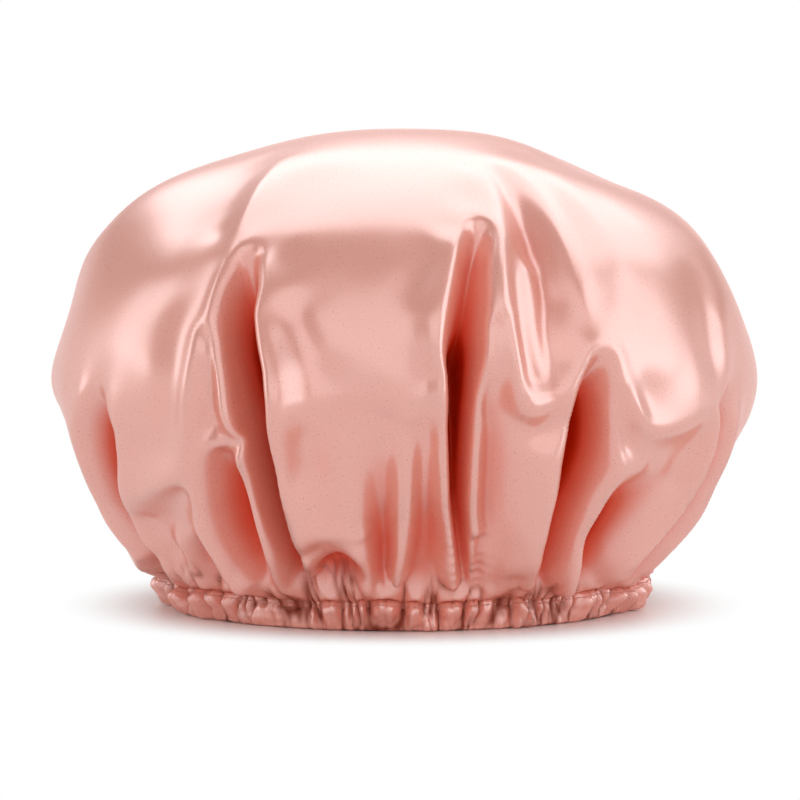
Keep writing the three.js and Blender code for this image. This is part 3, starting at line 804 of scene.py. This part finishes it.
def add_node(tree, kind, links=(), **settings):
    """A shader node with its settings, and its input sockets linked or set."""
    node = tree.nodes.new("ShaderNode" + kind)
    for name, value in settings.items():
        setattr(node, name, value)
    for socket, value in dict(links).items():
        if isinstance(value, bpy.types.NodeSocket):
            tree.links.new(value, node.inputs[socket])
        else:
            node.inputs[socket].default_value = value
    return node


def new_material(name):
    """A material and its empty node tree."""
    material = bpy.data.materials.new(name)
    material.use_nodes = True
    tree = material.node_tree
    tree.nodes.clear()
    return material, tree


def dyed_satin():
    """Polyester satin, woven with long floats and dyed rose pink: the floats give broad soft highlights that
    stay nearly white under the softbox. The folds are painted red as painted shade for light that meets the
    cloth again and again, and the gathers' creases are painted nearly brown as painted shade, with the gloss
    lowered in both. The slubs, 0.5 mm by 6 mm, run with the warp; the real threads, 0.1 mm apart, are too
    fine to show, so the grain is drawn at 0.8 mm."""
    material, tree = new_material("dyed_polyester_satin")
    plane = add_node(tree, "UVMap", uv_map="cloth_plane").outputs["UV"]
    noise = {"Vector": plane, "Scale": 1 / (0.8 * MM), "Detail": 2.0, "Roughness": 0.6}
    grain = add_node(tree, "TexNoise", noise).outputs["Fac"]
    warp = add_node(tree, "Mapping", {"Vector": plane, "Scale": (1 / (0.5 * MM), 1 / (6 * MM), 1)})
    slub = add_node(tree, "TexNoise", {"Vector": warp.outputs["Vector"], "Scale": 1.0, "Detail": 2.0})
    # Painted shade: the fold depth and crease share that the crown and binding carry
    depth = add_node(tree, "Attribute", attribute_name="painted_fold_shade").outputs["Fac"]
    crease = add_node(tree, "Attribute", attribute_name="painted_crease_shade").outputs["Fac"]
    colours = {"Factor": grain, "A": linear("#E9917B"), "B": linear("#F8A692")}
    colour = add_node(tree, "Mix", colours, data_type="RGBA")
    # Painted shade: the folds redden with depth, the deepest turn deep red, and the gathers' creases go
    # nearly brown, for light bounced about or shut out there
    for value, start, stop, most, rise, shade_colour in (
        (depth, 0.0, 0.85, 1.0, "LINEAR", "#F0522E"),
        (depth, 0.6, 1.0, 1.0, "SMOOTHSTEP", "#C42A08"),
        (crease, 0.1, 0.75, 0.95, "LINEAR", "#84301C"),
    ):
        span = {"Value": value, "From Min": start, "From Max": stop, "To Max": most}
        share = add_node(tree, "MapRange", span, interpolation_type=rise)
        colours = {"Factor": share.outputs["Result"], "A": colour.outputs["Result"], "B": linear(shade_colour)}
        colour = add_node(tree, "Mix", colours, data_type="RGBA")
    # Painted shade: the gloss falls in the deep folds and creases too
    shade_share = add_node(tree, "Math", {0: depth, 1: crease}, operation="MAXIMUM")
    span = {"Value": shade_share.outputs[0], "From Min": 0.0, "From Max": 0.55, "To Min": 1.0, "To Max": 0.06}
    gloss = add_node(tree, "MapRange", span)
    span = {"Value": grain, "From Min": 0.3, "From Max": 0.7, "To Min": 0.27, "To Max": 0.31}
    rough = add_node(tree, "MapRange", span)
    fine = add_node(tree, "Bump", {"Height": grain, "Distance": 0.006 * MM, "Strength": 0.4})
    relief = {"Height": slub.outputs["Fac"], "Distance": 0.012 * MM, "Strength": 0.5}
    bump = add_node(tree, "Bump", {**relief, "Normal": fine.outputs["Normal"]})
    shader = add_node(
        tree,
        "BsdfPrincipled",
        {
            "Base Color": colour.outputs["Result"],
            "Roughness": rough.outputs["Result"],
            "Normal": bump.outputs["Normal"],
            "IOR": 2.1,
            "Specular Tint": linear("#FFF1F1"),
            "Specular IOR Level": gloss.outputs["Result"],
        },
    )
    add_node(tree, "OutputMaterial", {"Surface": shader.outputs["BSDF"]})
    return material


def milky_film():
    """PEVA film, blown thin: milky, faintly pink from the satin behind it, with a soft plastic gloss, a
    fine pebbled emboss of 1.2 mm and creases about 14 mm apart."""
    material, tree = new_material("embossed_peva_film")
    place = add_node(tree, "TexCoord").outputs["Object"]
    pebble = add_node(tree, "TexNoise", {"Vector": place, "Scale": 1 / (1.2 * MM), "Detail": 1.0})
    crease = add_node(tree, "TexNoise", {"Vector": place, "Scale": 1 / (14 * MM), "Detail": 3.0})
    crease = crease.outputs["Fac"]
    colours = {"Factor": crease, "A": linear("#EBD3CB"), "B": linear("#F5E6E0")}
    shade = add_node(tree, "Mix", colours, data_type="RGBA")
    fine = add_node(tree, "Bump", {"Height": pebble.outputs["Fac"], "Distance": 0.05 * MM, "Strength": 0.7})
    relief = {"Height": crease, "Distance": 1.2 * MM, "Strength": 0.5, "Normal": fine.outputs["Normal"]}
    bump = add_node(tree, "Bump", relief)
    finish = {"Base Color": shade.outputs["Result"], "Roughness": 0.32, "IOR": 1.49}
    shader = add_node(tree, "BsdfPrincipled", {**finish, "Normal": bump.outputs["Normal"]})
    add_node(tree, "OutputMaterial", {"Surface": shader.outputs["BSDF"]})
    return material


def ribbed_yarn(name, bands, scale, waver, dark, pale, relief, strength, roughness):
    """Yarn ribbed in one direction: a wave texture's bands in two colours, which stand out as well. A wave
    of scale 1 repeats every 314 mm straight up, and every 363 mm along the cube's diagonal."""
    material, tree = new_material(name)
    place = add_node(tree, "TexCoord").outputs["Object"]
    wave = {"Vector": place, "Scale": scale, "Distortion": waver, "Detail": 1.0}
    rib = add_node(tree, "TexWave", wave, bands_direction=bands).outputs["Fac"]
    colours = {"Factor": rib, "A": linear(dark), "B": linear(pale)}
    shade = add_node(tree, "Mix", colours, data_type="RGBA")
    bump = add_node(tree, "Bump", {"Height": rib, "Distance": relief * MM, "Strength": strength})
    finish = {"Base Color": shade.outputs["Result"], "Roughness": roughness, "Normal": bump.outputs["Normal"]}
    shader = add_node(tree, "BsdfPrincipled", finish)
    add_node(tree, "OutputMaterial", {"Surface": shader.outputs["BSDF"]})
    return material


satin = dyed_satin()
film = milky_film()

# Spun polyester sewing thread in the satin's pink, twisted every 0.7 mm and dull from its loose fibres
thread = ribbed_yarn("spun_polyester_thread", "DIAGONAL", 500, 3.0, "#D88F7F", "#EBB0A3", 0.05, 0.6, 0.55)

# White knitted elastic: rubber cores under a ribbed polyester knit, with a rib every 2.4 mm
elastic = ribbed_yarn("knitted_elastic", "Z", 132.633, 0.6, "#D9D2CB", "#F2EEE9", 0.15, 0.8, 0.7)

# The crown and its lining, cut as discs whose outermost twentieth lies in the binding

# The fold depth in millimetres at which the cloth's colour begins to redden as painted shade, for light
# bounced between the folds' walls, and how much more makes it fully red
FOLD_SHADE_FROM, FOLD_SHADE_OVER = 3.5, 15.0

cloth_rows = np.append(crown_rows(), ARCS[-1] + SEAM_EDGE)
cloth, cloth_fold_shade, cloth_crease_shade = crown_surface()
crown = grid_mesh("satin_crown_cloth", cloth, closed_top=True, flat=disc_plane(cloth_rows, COLUMNS))
# Painted shade: the fold depth, which the satin reads to redden its colour
paint(crown, "painted_fold_shade", np.append((cloth_fold_shade - FOLD_SHADE_FROM) / FOLD_SHADE_OVER, 0))
paint(crown, "painted_crease_shade", np.append(cloth_crease_shade, 0))
crown.data.materials.append(satin)
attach(crown, "root")
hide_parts("satin_crown")

# The lining lies inside the satin by this much. It doesn't fill narrow ridges: each point is drawn in to
# the smallest radius of so many neighbours on either side in its row.
LINING_GAP = 2.2
LINING_REACH = 5
inner = cloth - LINING_GAP * grid_normals(cloth)
inner_radius = np.hypot(inner[..., 0], inner[..., 1])
shifts = range(-LINING_REACH, LINING_REACH + 1)
nearest = np.min([np.roll(inner_radius, shift, axis=1) for shift in shifts], axis=0)
inner[..., :2] *= (nearest / inner_radius)[..., None]
inner = inner[::2]
lining_plane = disc_plane(cloth_rows[::2], COLUMNS)
lining = grid_mesh("waterproof_lining_film", inner, closed_top=True, flat=lining_plane)
lining.data.materials.append(film)
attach(lining, "root")
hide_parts("waterproof_lining")

# The hem binding

BINDING_CENTRE = NECK_RADIUS - 0.7
BELLY = 4.8  # half the thickness of the band where it is thickest, at this height
BELLY_HEIGHT = 6.5
MOUTH = 0.35  # half the thickness of its mouth
CLOTH = 0.5
STRETCH = 0.75  # how fast the gathers change down the binding, as a share of that up the crown
RUFFLE_OUTSIDE, RUFFLE_INSIDE = 15.0, 2.5
PINCH, PINCH_BELOW_MOUTH = 0.4, 1.6
OVER_ELASTIC = 1.3  # how far outside the elastic's face the wall stays
BINDING_STRIP = 60.0  # the strip's width on its UV map
BINDING_FULLNESS = 2.2  # the strip's length, as a multiple of its ring's


def binding_wall(azimuth, height, side):
    """The radius of the binding's outer wall, side 1, or inner wall, side -1, at a height. The section is a
    drop: half an ellipse at the bottom and walls that close to the mouth at the top. Outside, it is rolled
    between the creases, and inside less so. A pinch under the mouth marks the seam. Beside the elastic the
    outer wall never comes in further than the elastic's face."""
    low = np.sqrt(np.clip(1 - ((height - BELLY_HEIGHT) / BELLY_HEIGHT) ** 2, 0, 1))
    rise = np.clip((height - BELLY_HEIGHT) / (HEM_HEIGHT - BELLY_HEIGHT), 0, 1)
    half = np.where(height < BELLY_HEIGHT, BELLY * low, MOUTH + (BELLY - MOUTH) * (1 - rise**1.5))
    away = HEM_HEIGHT - height
    seam = gather_lift(azimuth, 0 * away)
    swell = np.sin(np.pi / 2 * np.clip(away / 3.5, 0, 1))
    ruffle = gathers(azimuth, -STRETCH * away) - MEAN_FULLNESS
    ruffle = ruffle * (RUFFLE_OUTSIDE if side > 0 else RUFFLE_INSIDE)
    above_floor = np.clip(height / 2 + 0.55, 0, 1)
    pinch = PINCH * np.exp(-((away - PINCH_BELOW_MOUTH) ** 2) / 0.6)
    middle = SEAM_RADIUS + (BINDING_CENTRE - SEAM_RADIUS) * np.clip(away / 6, 0, 1)
    wall = middle + side * (half - pinch) + seam * (1 - swell) + ruffle * swell * above_floor
    beside = np.clip(2.6 - np.abs(height - ELASTIC_MIDDLE) / 2, 0, 1) * (away > 1)
    return np.where(side > 0, np.maximum(wall, NECK_RADIUS + OVER_ELASTIC - 5 * (1 - beside)), wall)


def binding_surface(columns=880, steps=18):
    """Points of the binding: down the outer wall, round under the elastic and up the inner wall, then back
    half a millimetre inside, as a folded strip of cloth. Creases lift the bottom edge off the floor."""
    azimuth = np.linspace(0, 360, columns + 1)[:-1] + 180
    fall = np.sin(np.linspace(0, np.pi / 2, steps))
    height = HEM_HEIGHT * (1 - fall)
    rows, creases = [], []
    lifted = 1.2 * np.clip(0.3 - gathers(azimuth, -STRETCH * HEM_HEIGHT), 0, 1)
    for side, levels in ((1, height), (-1, height[::-1][1:])):
        for level in levels:
            near_floor = np.clip(1 - level / 5, 0, 1) ** 2
            near_seam = np.clip(level / HEM_HEIGHT, 0, 1) ** 2 * seam_shift(azimuth)
            place = level + lifted * near_floor + near_seam
            rows.append(around(azimuth, binding_wall(azimuth, level, side), place))
            # Painted shade: how far each point lies in a crease, which darkens its colour
            creases.append(crease_shade_share(gathers(azimuth, -STRETCH * (HEM_HEIGHT - level))))
    outer, creases = np.array(rows), np.array(creases)
    inside = outer - CLOTH * grid_normals(outer)
    return np.concatenate([outer, inside[::-1]]), np.concatenate([creases, creases[::-1]])


ring, ring_crease_shade = binding_surface()
around_hem = np.linspace(0, 2 * np.pi * BINDING_CENTRE * BINDING_FULLNESS, ring.shape[1] + 1)[:-1]
down_hem = np.linspace(0, BINDING_STRIP, ring.shape[0])
strip = np.stack(np.broadcast_arrays(around_hem[None], down_hem[:, None]), -1)
binding = grid_mesh("hem_binding_cloth", ring, flat=strip, loop=True)
# Painted shade in the binding's creases
paint(binding, "painted_crease_shade", ring_crease_shade.ravel())
binding.data.materials.append(satin)
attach(binding, "root")
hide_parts("hem_binding")


THREAD_RADIUS = 0.22
SEAM_BELOW_MOUTH = 1.7
STITCHES = 190


def stitched_thread(name, side, node):
    """A thread that follows the binding's wall near its mouth: a tube whose path dips into the cloth at
    every stitch, 3 mm apart."""
    azimuth = np.linspace(0, 360, 12 * STITCHES + 1)[:-1]
    height = HEM_HEIGHT - SEAM_BELOW_MOUTH
    dip = 0.28 * np.abs(np.sin(np.radians(azimuth) * STITCHES / 2)) ** 0.5 - 0.12
    path = binding_wall(azimuth, np.full(azimuth.shape, height), side) + side * dip
    height = height + (height / HEM_HEIGHT) ** 2 * seam_shift(azimuth)
    rows = [
        around(azimuth, path + THREAD_RADIUS * np.cos(turn), height + THREAD_RADIUS * np.sin(turn))
        for turn in np.linspace(0, 2 * np.pi, 7)[:-1]
    ]
    obj = grid_mesh(name, np.array(rows)[::-1], loop=True)
    obj.data.materials.append(thread)
    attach(obj, "root")
    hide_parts(node)


stitched_thread("seam_stitches_outside", 1, "seam_needle_thread")
stitched_thread("seam_stitches_inside", -1, "seam_bobbin_thread")


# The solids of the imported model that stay, with materials of their own
KEPT_SOLIDS = {"elastic_band": elastic, "elastic_lap_thread": thread}
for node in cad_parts:
    if node in KEPT_SOLIDS:
        materials = bpy.data.objects[node].data.materials
        materials.clear()
        materials.append(KEPT_SOLIDS[node])


# The studio


def seen_plainly(tree):
    """1 for the camera's rays and for those that reach it by gloss or through film, and 0 for the rest."""
    path = add_node(tree, "LightPath").outputs
    seen = add_node(tree, "Math", {0: path["Is Camera Ray"], 1: path["Is Glossy Ray"]}, operation="MAXIMUM")
    last = {0: seen.outputs[0], 1: path["Is Transmission Ray"]}
    return add_node(tree, "Math", last, operation="MAXIMUM").outputs[0]


def white_floor(reach=6.0):
    """Coated white paper that mirrors the hem faintly. Far from the cap the camera sees it as plain white,
    so that it meets the background."""
    mesh = bpy.data.meshes.new("paper_floor")
    corners = [(-reach, -reach, 0), (reach, -reach, 0), (reach, reach, 0), (-reach, reach, 0)]
    mesh.from_pydata(corners, [], [(0, 1, 2, 3)])
    material, tree = new_material("white_paper")
    place = add_node(tree, "TexCoord")
    away = add_node(tree, "VectorMath", {0: place.outputs["Object"]}, operation="LENGTH")
    span = {"Value": away.outputs["Value"], "From Min": 0.09, "From Max": 0.14}
    far = add_node(tree, "MapRange", span, interpolation_type="SMOOTHSTEP")
    share = add_node(tree, "Math", {0: seen_plainly(tree), 1: far.outputs["Result"]}, operation="MULTIPLY")
    paper = add_node(tree, "BsdfPrincipled", {"Base Color": linear("#F4F4F4"), "Roughness": 0.3, "IOR": 1.45})
    plain = add_node(tree, "Emission", {"Color": (1, 1, 1, 1), "Strength": 1.0})
    both = {0: share.outputs[0], 1: paper.outputs["BSDF"], 2: plain.outputs["Emission"]}
    mixed = add_node(tree, "MixShader", both)
    add_node(tree, "OutputMaterial", {"Surface": mixed.outputs["Shader"]})
    mesh.materials.append(material)
    add_object("paper_floor", mesh)


def softbox(name, place, target, size, sheen, light):
    """A rectangular softbox with two brightnesses, where 1 is white: what shines back from gloss, and what
    lights the cloth. Each is a lamp at the same place that only such rays see."""
    for use, radiance in (("sheen", sheen), ("light", light)):
        lamp = bpy.data.lights.new(f"{name}_{use}", "AREA")
        lamp.shape = "RECTANGLE"
        lamp.size, lamp.size_y = size
        lamp.energy = radiance * np.pi * size[0] * size[1]
        obj = add_object(f"{name}_{use}", lamp)
        obj.location = place
        obj.rotation_euler = (Vector(target) - Vector(place)).to_track_quat("-Z", "Y").to_euler()
        obj.visible_camera = False
        obj.visible_glossy = use == "sheen"
        obj.visible_diffuse = use == "light"


def studio_world():
    """A room whose walls are white low down and grey towards the ceiling. What the camera and reflections
    see of it is at full strength, and its light on the cap is weaker."""
    world = bpy.data.worlds.new("studio")
    bpy.context.scene.world = world
    world.use_nodes = True
    tree = world.node_tree
    tree.nodes.clear()
    place = add_node(tree, "TexCoord")
    axes = add_node(tree, "SeparateXYZ", {"Vector": place.outputs["Generated"]})
    span = {"Value": axes.outputs["Z"], "From Min": 0.07, "From Max": 0.3, "To Min": 1.0, "To Max": 0.4}
    grey = add_node(tree, "MapRange", span, interpolation_type="SMOOTHSTEP")
    level = add_node(tree, "MapRange", {"Value": seen_plainly(tree), "To Min": 0.9, "To Max": 1.0})
    both = {0: grey.outputs["Result"], 1: level.outputs["Result"]}
    strength = add_node(tree, "Math", both, operation="MULTIPLY")
    back = add_node(tree, "Background", {"Color": (1, 1, 1, 1), "Strength": strength.outputs[0]})
    add_node(tree, "OutputWorld", {"Surface": back.outputs["Background"]})


white_floor()
studio_world()
softbox("overhead", (0.17, 0.7, 1.4), (0, 0.1, 0.1), (2.4, 1.8), 2.3, 1.75)
softbox("back", (0.1, 1.75, 1.35), (0, 0.1, 0.1), (2.4, 1.1), 0.65, 1.3)
softbox("front", (0, -2.6, 1.7), (0, 0, 0.1), (5.6, 2.2), 1.05, 1.58)
softbox("left", (-1.52, 0.3, 0.7), (0, 0, 0.1), (0.75, 1.15), 1.9, 1.6)
softbox("right", (1.6, -0.2, 0.75), (0, 0, 0.1), (1.4, 1.5), 2.1, 1.3)


def make_camera():
    """The photograph's camera, which looks down by its lift at what lies in the middle of the picture."""
    camera = bpy.data.cameras.new("camera")
    camera.sensor_width = SENSOR_MM
    camera.lens = SENSOR_MM * CAMERA_DISTANCE / (PICTURE * MM_PER_PIXEL)
    camera.clip_end = 100
    across = (PICTURE / 2 - CENTRE_COLUMN) * MM_PER_PIXEL * MM
    up = (FLOOR_ROW - PICTURE / 2) * MM_PER_PIXEL * MM / np.cos(CAMERA_LIFT)
    back = Vector((0, -np.cos(CAMERA_LIFT), np.sin(CAMERA_LIFT)))
    obj = add_object("camera", camera)
    obj.location = Vector((across, 0, up)) + back * CAMERA_DISTANCE * MM
    obj.rotation_euler = (-back).to_track_quat("-Z", "Y").to_euler()
    bpy.context.scene.camera = obj


make_camera()
bpy.context.scene.view_settings.view_transform = "Standard"
